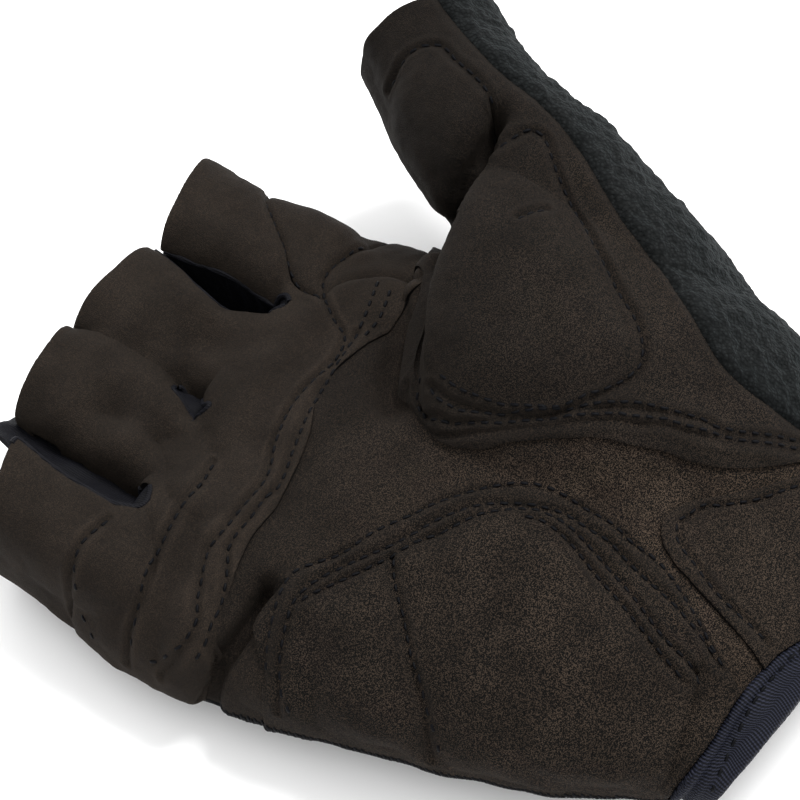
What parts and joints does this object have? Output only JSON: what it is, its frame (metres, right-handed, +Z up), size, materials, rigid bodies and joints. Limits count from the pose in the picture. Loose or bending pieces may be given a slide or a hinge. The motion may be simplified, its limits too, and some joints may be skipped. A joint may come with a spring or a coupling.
{
  "type": "cycling glove",
  "caption": "Short-finger cycling mitt lying palm up, with padded suede palm, towelling thumb back, stretch strips between the fingers and a bound wrist.",
  "frame": {"origin": "centre of the footprint, on the plane the back of the glove rests on", "axes": "+Y from the wrist mouth to the finger rims, +X to the thumb side, +Z up out of the palm"},
  "size_m": [0.1374, 0.1474, 0.054],
  "materials": {
    "suede": "dark brown synthetic suede, matt",
    "terry": "dark grey-green towelling, matt",
    "stretch": "navy stretch jersey, faint sheen",
    "back_knit": "black stretch knit, matt",
    "binding": "navy ribbed elastic tape, faint sheen"
  },
  "bodies": {
    "root": {"palm_panel": "suede", "finger_panel": "suede", "index_gusset": "suede", "web_panel": "suede", "thumb_panel": "suede", "thumb_terry": "terry", "heel_pad": "suede", "wrist_patch": "suede", "fourchette_index_middle": "stretch", "fourchette_middle_ring": "stretch", "fourchette_ring_little": "stretch", "back_panel": "back_knit", "wrist_binding": "binding"}
  },
  "joints": []
}
